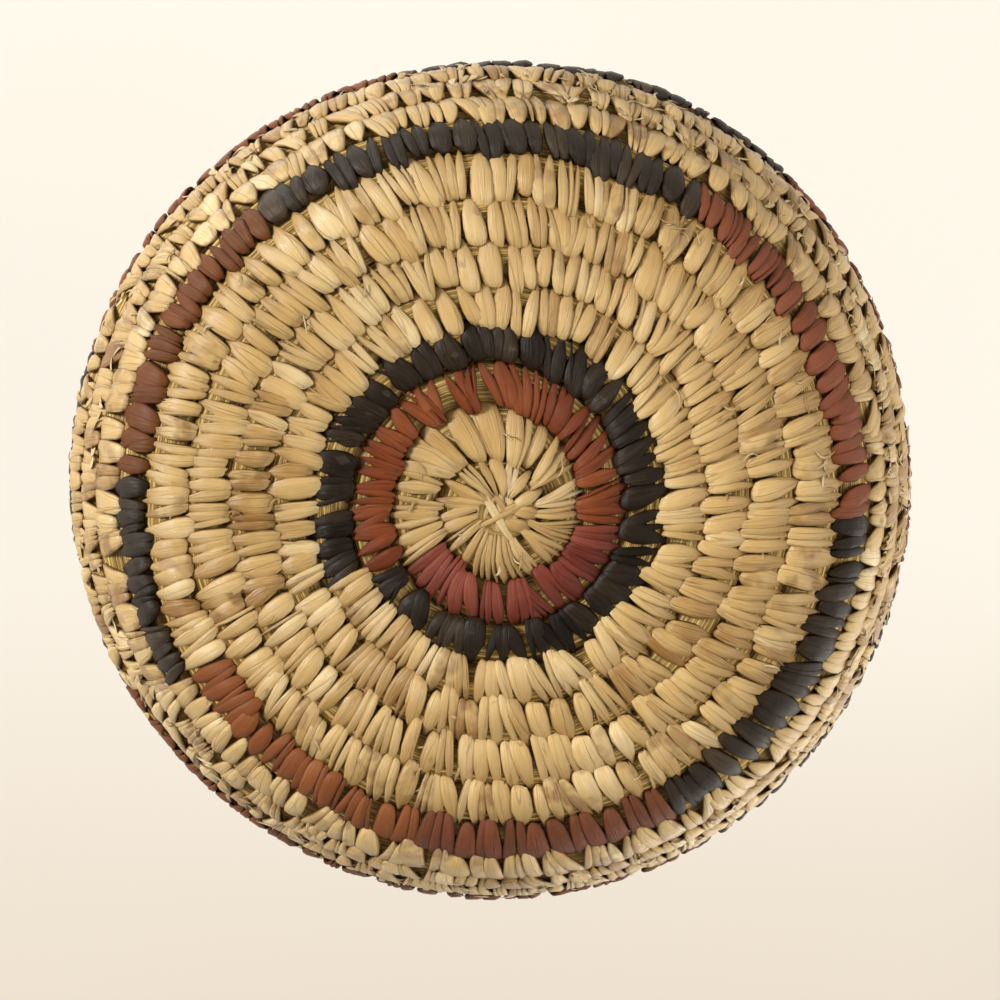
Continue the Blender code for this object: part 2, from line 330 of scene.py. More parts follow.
def hand_waver(length, angle):
    """How far a row strays along the wall, as rows pulled tight by hand do."""
    stray = sum(
        share * np.sin(waves * angle + twist * length + shift)
        for share, waves, twist, shift in WAVERS
    )
    turn = length / COIL_PITCH
    off_centre = off_centre_at(turn) * np.cos(angle + np.radians(off_towards(turn)))
    oval = oval_at(turn) * np.cos(2 * (angle + np.radians(oval_towards(turn))))
    wide_row = WIDENING * np.exp(-((turn - WIDE_TURN) ** 2))
    wide_row = wide_row * np.maximum(-np.sin(angle - WIDE_SIDE_END), 0.0) ** 2
    waver = WAVER * stray * ramp(length, 0.0, WAVER_GROWS_OVER)
    return waver + farther_at(turn) + off_centre + oval + wide_row


def out_of_round(angle, turn):
    """How far the steep wall leans out, or in where it is less than nothing."""
    lean = WALL_LEAN * np.cos(angle + WALL_LEAN_TOWARDS)
    lean = lean + CORNERS * np.cos(3 * angle - CORNERS_BEARING)
    rim = RIM_DRAWN_IN * ramp(turn, *RIM_DRAWN_TURNS)
    share = (angle / math.tau - START_LINE / 360) % 1.0
    band = band_drawn_in_at(share) * ramp(turn, *BAND_DRAWN_TURNS)
    return lean * np.sin(wall_slope(turn)) ** LEAN_POWER - rim - band


def on_wall(turn, across, through):
    """Points of the basket, from turns along the coil and metres across and through it."""
    angle = math.radians(START_LINE) + math.tau * turn
    length = turn * COIL_PITCH + across
    length = length + hand_waver(length, angle)
    slope = wall_slope(length / COIL_PITCH)
    through = through - out_of_round(angle, length / COIL_PITCH)
    radius = wall_radius(length) - np.sin(slope) * through
    height = np.interp(length, PROFILE_LENGTH, PROFILE_HEIGHT)
    height = HALF_THICKNESS + height + np.cos(slope) * through
    return np.stack((radius * np.cos(angle), -radius * np.sin(angle), height), axis=-1)


def coil_share(turn):
    """The coil's size and where its middle lies in its row: small at the start and the tail."""
    edge = np.maximum(KNOT_RADIUS + ROW_GAP - FIRST_ROW_OFFSET, COIL_PITCH * turn - HALF_WIDTH)
    opening = (COIL_PITCH * turn + HALF_WIDTH - edge) / (2 * HALF_WIDTH)
    tail = ramp(turn, TURNS - TAIL_TURNS, TAIL_TURNS)
    binding = ramp(turn, TURNS, BINDING_TURNS)
    share = np.minimum(opening, 1.0 - (1.0 - TAIL_END_SHARE) * tail)
    share = share + (BINDING_END_SHARE - TAIL_END_SHARE) * binding
    middle = edge + share * HALF_WIDTH - COIL_PITCH * turn
    lift = np.where(turn < 1.0, -(1.0 - share) * HALF_THICKNESS, 0.0)
    return share, middle, lift


def in_scene(name, data):
    """A new object in the scene."""
    made = bpy.data.objects.new(name, data)
    bpy.context.scene.collection.objects.link(made)
    return made


def new_mesh(name, bm):
    """The mesh that has been built up in bm, which is freed."""
    mesh = bpy.data.meshes.new(name)
    bm.to_mesh(mesh)
    bm.free()
    return mesh


def new_piece(name, mesh, slot, *nodes):
    """Puts a finished mesh in the scene, in the place of its CAD nodes."""
    piece = in_scene(name, mesh)
    mesh.materials.append(FINISHES[slot])
    mesh.shade_smooth()
    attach(piece, "root")
    if nodes:
        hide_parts(*nodes)


def ring_of_sections():
    """A closed band of leaf strip of any size: a section spun round to meet itself."""
    bm = bmesh.new()
    section = bmesh.ops.create_circle(bm, segments=SIDES, radius=0.3)["verts"]
    bmesh.ops.rotate(bm, verts=section, matrix=Matrix.Rotation(math.pi / 2, 3, "X"))
    bmesh.ops.translate(bm, verts=section, vec=(1.0, 0.0, 0.0))
    bmesh.ops.spin(
        bm, geom=bm.edges[:], axis=(0, 0, 1), angle=math.tau, steps=STATIONS, use_merge=True
    )
    bmesh.ops.recalc_face_normals(bm, faces=bm.faces)
    return new_mesh("band_of_strip", bm)


def mesh_array(items, field, width):
    values = np.empty(len(items) * width)
    items.foreach_get(field, values)
    return values.reshape(-1, width) if width > 1 else values


def corner_vertices(mesh):
    corners = np.empty(len(mesh.loops), dtype=int)
    mesh.loops.foreach_get("vertex_index", corners)
    return corners


def strip_bands(name, bands, values):
    """A mesh of closed bands. bands: places by band, station and side. values: by band."""
    spare = ring_of_sections()
    place = mesh_array(spare.vertices, "co", 3)
    station = np.arctan2(place[:, 1], place[:, 0]) / math.tau * STATIONS
    station = np.rint(station).astype(int) % STATIONS
    reach = np.hypot(place[:, 0], place[:, 1]) - 1.0
    side = np.arctan2(place[:, 2], reach) / math.tau * SIDES
    side = np.rint(side - side[0]).astype(int) % SIDES
    bm = bmesh.new()
    for _ in range(len(bands)):
        bm.from_mesh(spare)
    mesh = new_mesh(name, bm)
    mesh.vertices.foreach_set("co", bands[:, station, side].ravel())
    corners = corner_vertices(spare)
    aside = (ACROSS[side[corners], 0] + 1.0) / 2
    flat = np.stack((station[corners] / STATIONS, aside), axis=-1)
    layer = mesh.uv_layers.new(name="strip")
    layer.data.foreach_set("uv", np.tile(flat, (len(bands), 1)).ravel())
    for label, value in values.items():
        attribute = mesh.attributes.new(label, "FLOAT", "POINT")
        attribute.data.foreach_set("value", np.repeat(value, len(place)))
    bpy.data.meshes.remove(spare)
    mesh.update()
    return mesh


class Stitch:
    """One stitch: its place and step in turns, its tone and lean, and where it hooks in."""

    def __init__(self, turn, step, tone, rng):
        self.turn = turn
        self.step = step
        self.tone = tone + rng.normal(0.0, STITCH_TONE_SPREAD)
        self.tone -= GOLDEN * (rng.random() < GOLDEN_CHANCE)
        style = style_at(turn)
        self.lean = math.radians(rng.normal(style.lean, style.lean_spread))
        self.hook = turn
        self.split = False


def lay_stitches(rng):
    """Spaces the stitches along the coil and hooks each one into the row before it."""
    stitches = []
    turn = START_TURN
    while turn < TURNS:
        step = spacing_at(turn) / (math.tau * wall_radius(turn * COIL_PITCH))
        step *= rng.uniform(1.0 - SPACING_SPREAD, 1.0 + SPACING_SPREAD)
        if len(stitches) % LEAF_STITCHES == 0:
            leaf_tone = rng.normal(MIDDLE_TONE, LEAF_TONE_SPREAD)
        stitches.append(Stitch(turn + step / 2, step, leaf_tone, rng))
        turn += step
    turns = np.array([stitch.turn for stitch in stitches])
    for stitch in stitches:
        radius = wall_radius(stitch.turn * COIL_PITCH)
        stitch.hook = stitch.turn - math.tan(stitch.lean) * HALF_WIDTH / (math.tau * radius)
        if stitch.turn > START_TURN + 1.0:
            hook_into_row(stitch, turns, stitches)
    return stitches


def hook_into_row(stitch, turns, stitches):
    """Moves a stitch's inner end to the nearest gap of the row before, or splits a stitch."""
    wanted = stitch.hook - 1.0
    after = min(max(int(np.searchsorted(turns, wanted)), 1), len(turns) - 1)
    gap = (turns[after - 1] + turns[after]) / 2
    spacing = turns[after] - turns[after - 1]
    if abs(wanted - gap) < HOOK_IN_GAP * spacing:
        stitch.hook = gap + 1.0
        return
    nearest = after if wanted > gap else after - 1
    stitches[nearest].split = stitches[nearest].turn > FIRST_SPLIT_TURN
    stitch.hook = turns[nearest] + 1.0


def style_at(turn):
    return [style for style in STYLES if style.turn <= turn][-1]


def width_share(way, inner, outer, widest, tip):
    """A stitch's width along its length, as a share of its greatest."""
    before = np.clip((widest - way) / widest, 0.0, 1.0)
    after = ramp(way, widest, tip - widest)
    return 1.0 - (1.0 - inner) * before**2 - (1.0 - outer) * after**OUTER_TAPER


def torn(rng, count, spread):
    """Lobes that overlap at the inner end and part towards the outer one."""
    parts = []
    widths = rng.uniform(*LOBE_WIDTHS, size=count)
    widths = widths / widths.sum()
    for start, width in zip(np.cumsum(widths) - widths, widths):
        aside = 2 * start + width - 1.0
        parts.append((aside * LOBES_INNER, aside * spread, width * rng.uniform(*LOBE_OVERLAP)))
    return parts


def with_sliver(rng):
    side = rng.choice((-1.0, 1.0))
    inner, outer, width = BESIDE_SLIVER
    return (
        (inner * side, outer * side, width),
        (rng.uniform(*SLIVER_INNER) * side, SLIVER_OUTER * side, SLIVER_WIDTH),
    )


def stitch_parts(stitch, style, rng):
    if stitch.split:
        return torn(rng, 2, rng.uniform(*SPLIT_OUTER))
    tears = min(rng.poisson(style.tears), MOST_TEARS)
    if tears:
        return torn(rng, 1 + tears, rng.uniform(*TORN_OUTER))
    if rng.random() < SLIVER_CHANCE:
        return with_sliver(rng)
    return WHOLE


def uneven_edges(way, style, rng):
    """Width shares of a strip's two edges along its way, each a little its own."""
    edges = []
    inside_inner, least_outer, inside_widest = INSIDE_EDGES
    for _ in range(2):
        inner, outer, widest = (
            np.clip(value + rng.normal(0.0, UNEVEN), *bounds)
            for value, bounds in zip((style.inner, style.outer, style.widest), EDGE_BOUNDS)
        )
        outside = width_share(way, inner, outer, widest, style.tip)
        inside = width_share(way, inside_inner, max(outer, least_outer), inside_widest, 1.0)
        width = np.where(OUTSIDE, outside, inside) * (1.0 + rng.normal(0.0, UNEVEN))
        edges.append(width * WAY_ROUND[:, 2])
    return edges


def stitch_bands(stitch, rng, parts=WHOLE):
    """Closed bands of strip round the bundle, one for each part of a stitch."""
    style = style_at(stitch.turn)
    share, middle, lift = coil_share(stitch.turn)
    radius = wall_radius(stitch.turn * COIL_PITCH + middle)
    girth = math.tau * radius
    edge = middle + STITCH_REACH * share
    bite = style.bite * rng.uniform(*BITE_SPREAD)
    inner_end = max(middle - (STITCH_REACH + bite) * share, CENTRE_CLEAR - radius + middle)
    way = WAY_ROUND[:, 0]
    rise = np.where(OUTSIDE, OUTSIDE_RISE, INSIDE_RISE) * share * rng.uniform(*RISE_SPREAD)
    # The middle line runs from the hook at the inner end to the outer end's own place
    sweep = math.tan(stitch.lean) * HALF_WIDTH / girth
    inside_hook = stitch.hook + sweep * rng.uniform(*INSIDE_LEAN_SPREAD)
    hook = np.where(OUTSIDE, stitch.hook, inside_hook)
    line = hook + (stitch.turn + sweep * OUTER_LEAN - hook) * way
    line = line + rng.normal(0.0, BOW) / girth * np.sin(math.pi * way)
    half = stitch.step * girth * style.cover * rng.uniform(*COVER_SPREAD) / 2
    bands = []
    for inner_aside, outer_aside, part in parts:
        across = inner_end + way * (edge - inner_end)
        sunk = 1.0 - PART_SINKS * (1.0 - part) * rng.random()
        through = lift + WAY_ROUND[:, 1] * rise * sunk
        local_radius = wall_radius(stitch.turn * COIL_PITCH + across)
        narrowing = half * np.clip(local_radius / radius, LEAST_NARROWING, 1.0)
        before, after = uneven_edges(way, style, rng)
        crown = CROWN * style.depth * share * (LEAST_CROWN + CROWN_BY_WIDTH * part)
        crown = crown * rng.uniform(*CROWN_SPREAD)
        fall = crown * ACROSS[:, 1] + rng.normal(0.0, CREASE, size=SIDES) * CREASED * share
        roll = rng.normal(ROLL, ROLL_SPREAD) + rng.normal(0.0, ROLL_SPREAD) * (way - 0.5)
        fall = fall + roll[:, None] * share * ACROSS[:, 0]
        reach = np.where(ACROSS[:, 0] < 0.0, before[:, None], after[:, None]) * ACROSS[:, 0]
        reach = reach * part + (inner_aside + (outer_aside - inner_aside) * way)[:, None]
        reach = reach * narrowing[:, None]
        inward_across, inward_through = inward(across, through)
        turn = line[:, None] + reach / (math.tau * local_radius[:, None])
        across = across[:, None] + inward_across[:, None] * fall
        through = through[:, None] + inward_through[:, None] * fall
        bands.append(on_wall(turn, across, through))
    return bands


def inward(across, through):
    """Directions into the bundle at each station of the way round it."""
    run = np.roll(across, -1) - np.roll(across, 1)
    climb = np.roll(through, -1) - np.roll(through, 1)
    length = np.hypot(run, climb)
    return -climb / length, run / length


def wear_of(turn, slot):
    if slot == NATURAL:
        return WORN if turn < WORN_TO else 0.0
    return FADED if turn >= FADED_FROM and slot != DARK else 0.0


def sewing(name, start, end, slot, stitches, rng):
    """The stitches of one strip's run, as one piece."""
    bands, tones, stains = [], [], []
    for stitch in stitches:
        if not start <= stitch.turn < end:
            continue
        parts = stitch_parts(stitch, style_at(stitch.turn), rng)
        made = stitch_bands(stitch, rng, parts)
        bands += made
        # some runs are lowered in tone, partly as painted shade
        tone = stitch.tone - SHADED_AND_DARKER_RUNS.get(name, 0.0)
        tones += [tone + rng.normal(0.0, PART_TONE_SPREAD) for _ in made]
        chance = STAIN_CHANCE if stitch.turn < STAINED_FROM else STAINED_ROW_CHANCE
        chance = chance if slot == NATURAL else 0.0
        stain = rng.uniform(*STAIN_DEPTH) if rng.random() < chance else 0.0
        stains += [stain] * len(made)
    wear = np.full(len(bands), wear_of(start, slot))
    values = {"tone": tones, "seed": rng.random(len(bands)), "stain": stains, "wear": wear}
    mesh = strip_bands(name + "_stitches", np.array(bands), values)
    new_piece(name + "_stitches", mesh, slot, name)


def long_tube(name, rings):
    """A tube through rings of points, closed at both ends, with its length and girth as UV."""
    count, around = rings.shape[:2]
    bm = bmesh.new()
    bmesh.ops.create_grid(bm, x_segments=around, y_segments=count - 1, size=1.0)
    mesh = new_mesh(name, bm)
    place = (mesh_array(mesh.vertices, "co", 3) + 1.0) / 2
    point = np.rint(place[:, 0] * around).astype(int)
    station = np.rint(place[:, 1] * (count - 1)).astype(int)
    mesh.vertices.foreach_set("co", rings[station, point % around].ravel())
    middles = rings.mean(axis=1)
    run = np.append(0.0, np.cumsum(np.linalg.norm(np.diff(middles, axis=0), axis=1)))
    corners = corner_vertices(mesh)
    flat = np.stack((run[station[corners]], point[corners] / around), axis=-1)
    mesh.uv_layers.new(name="strip").data.foreach_set("uv", flat.ravel())
    bm = bmesh.new()
    bm.from_mesh(mesh)
    bmesh.ops.remove_doubles(bm, verts=bm.verts, dist=WELD_DISTANCE)
    ends = [edge for edge in bm.edges if edge.is_boundary]
    bmesh.ops.holes_fill(bm, edges=ends, sides=around)
    bmesh.ops.recalc_face_normals(bm, faces=bm.faces)
    bm.to_mesh(mesh)
    bm.free()
    return mesh


STEM_BEARINGS = np.arange(POINTS_ROUND) * math.tau / POINTS_ROUND
STEM_RIDGES = STEM_RIDGE * np.where(np.arange(POINTS_ROUND) % 2, -1.0, 1.0)


def bundle_rings(turns, rng):
    """Sections of the grass bundle, each stem a ridge that strays a little on its way."""
    share, middle, lift = (value[:, None] for value in coil_share(turns))
    twist = sum(size * np.sin(rate * turns + shift) for size, rate, shift in TWISTS)
    bearing = STEM_BEARINGS[None, :] + twist[:, None]
    stray = rng.normal(0.0, 1.0, size=(len(turns) + STRAY_SECTIONS - 1, STEMS))
    stray = sum(stray[step:step + len(turns)] for step in range(STRAY_SECTIONS))
    stray = stray / math.sqrt(STRAY_SECTIONS)
    ridge = STEM_RIDGES + STEM_UNEVENNESS * np.repeat(stray, 2, axis=1)
    # The thinning tail laps the row before as far as the full bundle does
    thinned = HALF_WIDTH + (BUNDLE_INNER_WIDTH - HALF_WIDTH) / share
    inner = np.where(turns[:, None] < 1.0, BUNDLE_INNER_WIDTH, thinned)
    width = np.where(np.cos(bearing) > 0.0, BUNDLE_OUTER_WIDTH, inner)
    wide = np.cos(bearing) * (width + ridge)
    thick = np.sin(bearing) * (BUNDLE_HALF_THICKNESS + ridge)
    return on_wall(turns[:, None], middle + share * wide, lift + share * thick)


def foundation_coil(rng):
    """The bundle of grass, from its bent end to the tail."""
    turns = [BUNDLE_START]
    while turns[-1] < TURNS:
        radius = wall_radius(max(turns[-1], START_TURN) * COIL_PITCH)
        turns.append(turns[-1] + min(BUNDLE_TURN_STEP, BUNDLE_STEP / (math.tau * radius)))
    turns[-1] = TURNS
    mesh = long_tube("grass_coil", bundle_rings(np.array(turns), rng))
    new_piece("grass_coil", mesh, "grass_bundle", "foundation_coil")


# The strips that cross over the start: bearing in degrees, how far ahead and aside of the
# crossing's middle, half length, width, and height as a share of the knot's
CENTRE_STRIPS = (
    (72.0, 0.0, -0.0034, 0.0052, 0.0026, 0.80),
    (98.0, 0.0, 0.0036, 0.0052, 0.0026, 0.80),
    (10.0, 0.0, 0.0032, 0.0056, 0.0026, 0.80),
    (168.0, 0.0, -0.0024, 0.0056, 0.0026, 0.82),
    (40.0, 0.0, 0.0020, 0.0062, 0.0024, 0.84),
    (135.0, 0.0, -0.0020, 0.0060, 0.0024, 0.84),
    (85.0, 0.0, 0.0006, 0.0062, 0.0022, 0.88),
    (150.0, 0.0046, -0.0006, 0.0026, 0.0012, 0.90),
    (136.0, 0.0050, 0.0010, 0.0024, 0.0010, 0.90),
    (159.0, 0.0004, -0.0040, 0.0034, 0.0010, 0.92),
    (156.0, 0.0008, -0.0051, 0.0032, 0.0009, 0.90),
    (120.0, 0.0004, 0.0022, 0.0054, 0.0018, 0.92),
    (64.0, -0.0004, -0.0026, 0.0048, 0.0014, 0.90),
    (24.0, 0.0040, 0.0, 0.0040, 0.0028, 0.95),
    (121.0, -0.0004, 0.0, 0.0068, 0.0024, 0.98),
    (26.0, -0.0004, 0.0004, 0.0070, 0.0014, 1.03),
)
CROSSING = np.array((-0.0008, 0.0016, 0.0))
CROSSING_SQUARENESS = 0.7  # below 1, a strip goes round less like an ellipse, more like a box
# How much such a strip narrows and straightens to its ends, how its width differs, and its crown
CROSSING_TAPER = 0.55
CROSSING_BOW = 0.35
CROSSING_WIDTHS = (0.9, 1.1)
CROSSING_CROWN = 0.45
KNOT_RISE = 0.0027  # half the knot's thickness
# The bent end of the bundle under them
BENT_HALF_WIDTH = 0.0046
BENT_BEARING = 75.0
BENT_SECTIONS = 25
BENT_CLEARANCE = 0.0005  # to the strips
LEAST_ROUNDING = 0.0004  # so that it ends in small rings, not in points


def flat_axes(bearing):
    """Ahead and aside at a bearing in degrees, and up."""
    angle = math.radians(bearing)
    along = np.array((math.cos(angle), -math.sin(angle), 0.0))
    return along, np.array((-along[1], along[0], 0.0)), np.array((0.0, 0.0, 1.0))


def centre_band(bearing, ahead, offset, half_length, width, rise, rng):
    """A strip wound flat over the start of the coil and round under it."""
    run, height = (
        np.sign(part) * np.abs(part) ** CROSSING_SQUARENESS
        for part in (np.cos(STATION_ANGLES), np.sin(STATION_ANGLES))
    )
    run, height = -half_length * run, -KNOT_RISE * rise * height
    along, aside, up = flat_axes(bearing)
    half = width / 2 * (1.0 - CROSSING_TAPER * (run / half_length) ** 2)
    half = half * rng.uniform(*CROSSING_WIDTHS)
    bow = offset * (1.0 - CROSSING_BOW * (run / half_length) ** 2)
    inward_run, inward_up = inward(run, height)
    fall = CROWN * CROSSING_CROWN * ACROSS[:, 1]
    run = ahead + run[:, None] + inward_run[:, None] * fall
    height = KNOT_RISE + height[:, None] + inward_up[:, None] * fall
    sideways = bow[:, None] + half[:, None] * ACROSS[:, 0]
    place = run[..., None] * along + sideways[..., None] * aside + height[..., None] * up
    return CROSSING + place


def bent_start():
    """The bundle's end, bent over to a button that the first stitches cross."""
    steps = np.linspace(-1.0, 1.0, BENT_SECTIONS)
    along, aside, up = flat_axes(BENT_BEARING)
    rounded = np.sqrt(np.maximum(1.0 - steps**2, LEAST_ROUNDING))[:, None]
    wide = rounded * (BENT_HALF_WIDTH + STEM_RIDGES) * np.cos(STEM_BEARINGS)
    high = rounded * (KNOT_RISE - BENT_CLEARANCE + STEM_RIDGES) * np.sin(STEM_BEARINGS)
    high = KNOT_RISE + high
    run = (steps * BENT_HALF_WIDTH)[:, None, None] * along
    rings = CROSSING / 2 + run + wide[..., None] * aside + high[..., None] * up
    new_piece("bent_start", long_tube("bent_start", rings), "grass_bundle")


def start_knot(rng):
    """The strips that cross over the bent end."""
    bands = [centre_band(*strip, rng) for strip in CENTRE_STRIPS]
    tones = rng.normal(*LOOSE_TONE, size=len(bands))
    values = {"tone": tones, "seed": rng.random(len(bands)), "wear": np.full(len(bands), WORN)}
    mesh = strip_bands("crossed_start", np.array(bands), values)
    new_piece("crossed_start", mesh, NATURAL, "start_knot")


BINDING_WRAPS = 7
WRAP_WIDTH = 1.3  # as a share of the distance between two of them
WRAP_LEAN = 0.3


def tail_binding(rng):
    """The last strip wound close round the tail's tip."""
    wraps = []
    step = BINDING_TURNS / BINDING_WRAPS
    for wrap in range(BINDING_WRAPS):
        stitch = Stitch(TURNS + (wrap + 0.5) * step, step * WRAP_WIDTH, MIDDLE_TONE, rng)
        stitch.hook = stitch.turn - step * WRAP_LEAN
        wraps += stitch_bands(stitch, rng)
    values = {"tone": rng.normal(*BINDING_TONE, size=len(wraps)), "seed": rng.random(len(wraps))}
    mesh = strip_bands("bound_tail", np.array(wraps), values)
    new_piece("bound_tail", mesh, NATURAL, "tail_binding")


# Where fibres and torn strips lie loose: the turns between which they lie, how many there
# are, and their least and greatest length and width
FRAYED = (
    (1.0, 2.0, 10, 0.0020, 0.0050, 0.0003, 0.0006),
    (4.0, 8.0, 26, 0.0020, 0.0050, 0.0003, 0.0006),
    (7.4, 7.6, 14, 0.0020, 0.0055, 0.0003, 0.0007),
    (9.0, 12.0, 90, 0.0020, 0.0060, 0.0003, 0.0008),
    (9.3, 9.7, 40, 0.0020, 0.0060, 0.0003, 0.0008),
    (10.3, 10.7, 50, 0.0020, 0.0060, 0.0003, 0.0008),
    (11.3, 11.7, 40, 0.0020, 0.0060, 0.0003, 0.0008),
    (9.2, 11.9, 130, 0.0028, 0.0052, 0.0010, 0.0020),
)
LOOSE_BEARING = (1.4, 0.7)  # mean and spread, in radians from the row's own bearing
LOOSE_LIFT = (0.0, 0.0003)
LOOSE_ACROSS = (-0.0026, 0.0034)  # between these they lie, across a row
CLEAR_OF_DYE = 0.0010  # or this far past its middle, where the row beside it is dyed
NATURAL_PAIRS = ((1.6, 2.0), (5.0, 8.0), (10.0, 12.0))  # turns where the row before is natural too
# Where a spliced strip's end is tucked across its row, and its length, width and bearing
TUCKED_ACROSS = (-0.0036, 0.0004)
TUCKED_LENGTH = (0.0030, 0.0050)
TUCKED_WIDTH = (0.0006, 0.0011)
TUCKED_BEARING = (0.3, 0.25)
# How a loose piece curls aside, narrows and sinks to its ends and is thinner at its edges
LOOSE_CURL = 0.25
LOOSE_TAPER = 0.9
LOOSE_SINKS = 0.5
LOOSE_HALF_THICKNESS = 0.00012
LOOSE_THINNING = 0.8
ROW_ROUNDNESS = 0.9  # how much lower a row is at its edges, for what lies on it


def loose_band(turn, across, bearing, size, lift, rng):
    """A narrow strip or fibre that lies on the stitches, curled a little."""
    length, width = size
    run = -np.cos(STATION_ANGLES)
    height = np.sin(STATION_ANGLES)
    curl = rng.normal(0.0, LOOSE_CURL) * length * run**2
    half = width / 2 * np.sqrt(1.0 - LOOSE_TAPER * run**2)
    aside = curl[:, None] + half[:, None] * ACROSS[:, 0]
    ahead = (length / 2 * run)[:, None]
    thinning = 1.0 - LOOSE_THINNING * ACROSS[:, 1]
    rise = lift * (1.0 - LOOSE_SINKS * run**2)
    rise = rise[:, None] + LOOSE_HALF_THICKNESS * height[:, None] * thinning
    girth = math.tau * wall_radius(turn * COIL_PITCH + across)
    along = (ahead * math.cos(bearing) - aside * math.sin(bearing)) / girth
    over = across + ahead * math.sin(bearing) + aside * math.cos(bearing)
    row = over / COIL_PITCH - np.rint(over / COIL_PITCH)
    round_rows = OUTSIDE_RISE * (1.0 - ROW_ROUNDNESS * row**2)
    return on_wall(turn + along, over, -round_rows - rise)


def beside_natural(turn):
    return any(start < turn < end for start, end in NATURAL_PAIRS)


def loose_ends(stitches, rng):
    """The tucked ends of the spliced strips, and the fibres that have frayed off them."""
    bands = []
    for stitch in stitches[LEAF_STITCHES::LEAF_STITCHES]:
        if beside_natural(stitch.turn):
            size = rng.uniform(*TUCKED_LENGTH), rng.uniform(*TUCKED_WIDTH)
            across = rng.normal(*TUCKED_ACROSS)
            bearing = rng.normal(*TUCKED_BEARING)
            bands.append(loose_band(stitch.turn, across, bearing, size, 0.0, rng))
    for start, end, count, shortest, longest, finest, widest in FRAYED:
        for turn in rng.uniform(start, end, size=count):
            size = rng.uniform(shortest, longest), rng.uniform(finest, widest)
            inner = LOOSE_ACROSS[0] if beside_natural(turn) else CLEAR_OF_DYE
            outer = LOOSE_ACROSS[1] if beside_natural(turn + 1.0) else -CLEAR_OF_DYE
            across = rng.uniform(min(inner, outer), max(inner, outer))
            bearing = rng.normal(*LOOSE_BEARING)
            lift = rng.uniform(*LOOSE_LIFT)
            bands.append(loose_band(turn, across, bearing, size, lift, rng))
    values = {"tone": rng.normal(*LOOSE_TONE, size=len(bands)), "seed": rng.random(len(bands))}
    mesh = strip_bands("loose_ends", np.array(bands), values)
    new_piece("loose_ends", mesh, NATURAL)


class Nodes:
    """Short ways to add and join a material's nodes."""

    def __init__(self, owner):
        owner.use_nodes = True
        self.tree = owner.node_tree
        self.tree.nodes.clear()

    def add(self, kind, settings=(), **inputs):
        node = self.tree.nodes.new(kind)
        for name, value in dict(settings).items():
            setattr(node, name, value)
        for name, value in inputs.items():
            self.set(node.inputs[name.replace("_", " ")], value)
        return node

    def set(self, socket, value):
        if isinstance(value, bpy.types.NodeSocket):
            self.tree.links.new(value, socket)
        else:
            socket.default_value = value

    def fill(self, node, *values):
        """Sets a node's inputs in their order and returns its output."""
        for socket, value in zip(node.inputs, values):
            self.set(socket, value)
        return node.outputs[0]

    def math(self, operation, *values):
        return self.fill(self.add("ShaderNodeMath", {"operation": operation}), *values)

    def vector(self, *values):
        return self.fill(self.add("ShaderNodeCombineXYZ"), *values)

    def mix(self, factor, first, second):
        return self.fill(self.add("ShaderNodeMixShader"), factor, first, second)

    def blend(self, factor, first, second):
        node = self.add("ShaderNodeMix", {"data_type": "RGBA"})
        for place, value in ((0, factor), (6, first), (7, second)):
            self.set(node.inputs[place], value)
        return node.outputs[2]

    def noise(self, vector, scale, detail=3.0, roughness=0.55):
        inputs = {"Vector": vector, "Scale": scale, "Detail": detail, "Roughness": roughness}
        return self.add("ShaderNodeTexNoise", **inputs).outputs["Fac"]

    def span(self, value, low, high, to_low=0.0, to_high=1.0):
        bounds = {"From_Min": low, "From_Max": high, "To_Min": to_low, "To_Max": to_high}
        smooth = {"interpolation_type": "SMOOTHSTEP"}
        return self.add("ShaderNodeMapRange", smooth, Value=value, **bounds).outputs[0]

    def off_middle(self, value):
        """How far a value lies from a half."""
        return self.math("ABSOLUTE", self.math("SUBTRACT", value, 0.5))

    def stretched(self, along, aside, counts, seed=0.0):
        """Where a point lies in a pattern that comes so many times along and aside."""
        along = self.math("MULTIPLY", along, counts[0])
        return self.vector(along, self.math("MULTIPLY", aside, counts[1]), seed)

    def attribute(self, name):
        return self.add("ShaderNodeAttribute", {"attribute_name": name}).outputs["Fac"]

    def uv(self):
        flat = self.add("ShaderNodeUVMap", {"uv_map": "strip"}).outputs[0]
        split = self.add("ShaderNodeSeparateXYZ", Vector=flat)
        return split.outputs[0], split.outputs[1]

    def any_ray(self, kinds, start=0.0):
        """1 for rays of these kinds, and else what it starts from."""
        ray = self.add("ShaderNodeLightPath")
        for kind in kinds:
            start = self.math("MAXIMUM", start, ray.outputs[kind])
        return start

    def dry(self, base, roughness, gloss, height, strength, distance):
        """A surface with a fine relief."""
        bump = self.add("ShaderNodeBump", Height=height, Strength=strength, Distance=distance)
        inputs = {"Base_Color": base, "Roughness": roughness, "Specular_IOR_Level": gloss}
        shader = self.add("ShaderNodeBsdfPrincipled", Normal=bump.outputs[0], **inputs)
        self.surface(shader.outputs[0])

    def surface(self, shader, kind="ShaderNodeOutputMaterial"):
        self.add(kind, Surface=shader)


def colour(red, green, blue):
    """A colour written as 0 to 255, as a screen shows it."""
    parts = [value / 255 for value in (red, green, blue)]
    parts = [((v + 0.055) / 1.055) ** 2.4 if v > 0.04045 else v / 12.92 for v in parts]
    return (*parts, 1.0)


# A leaf's patterns: how many fibres and folds it has along and across a stitch, and how many
# patches of tone and spots of stain there are in a metre
FIBRES = (6.0, 22.0)
FOLDS = (0.8, 1.5)
PATCHES = 90.0
SPOTS = 190.0
SEEDS_APART = 90.0
CREASE_WIDTH = 0.018
# How much of each goes into the tone and into the relief
STREAK_TONE = 0.55
PATCH_TONE = 0.30
FOLD_RELIEF = 1.4
CREASE_RELIEF = 0.4
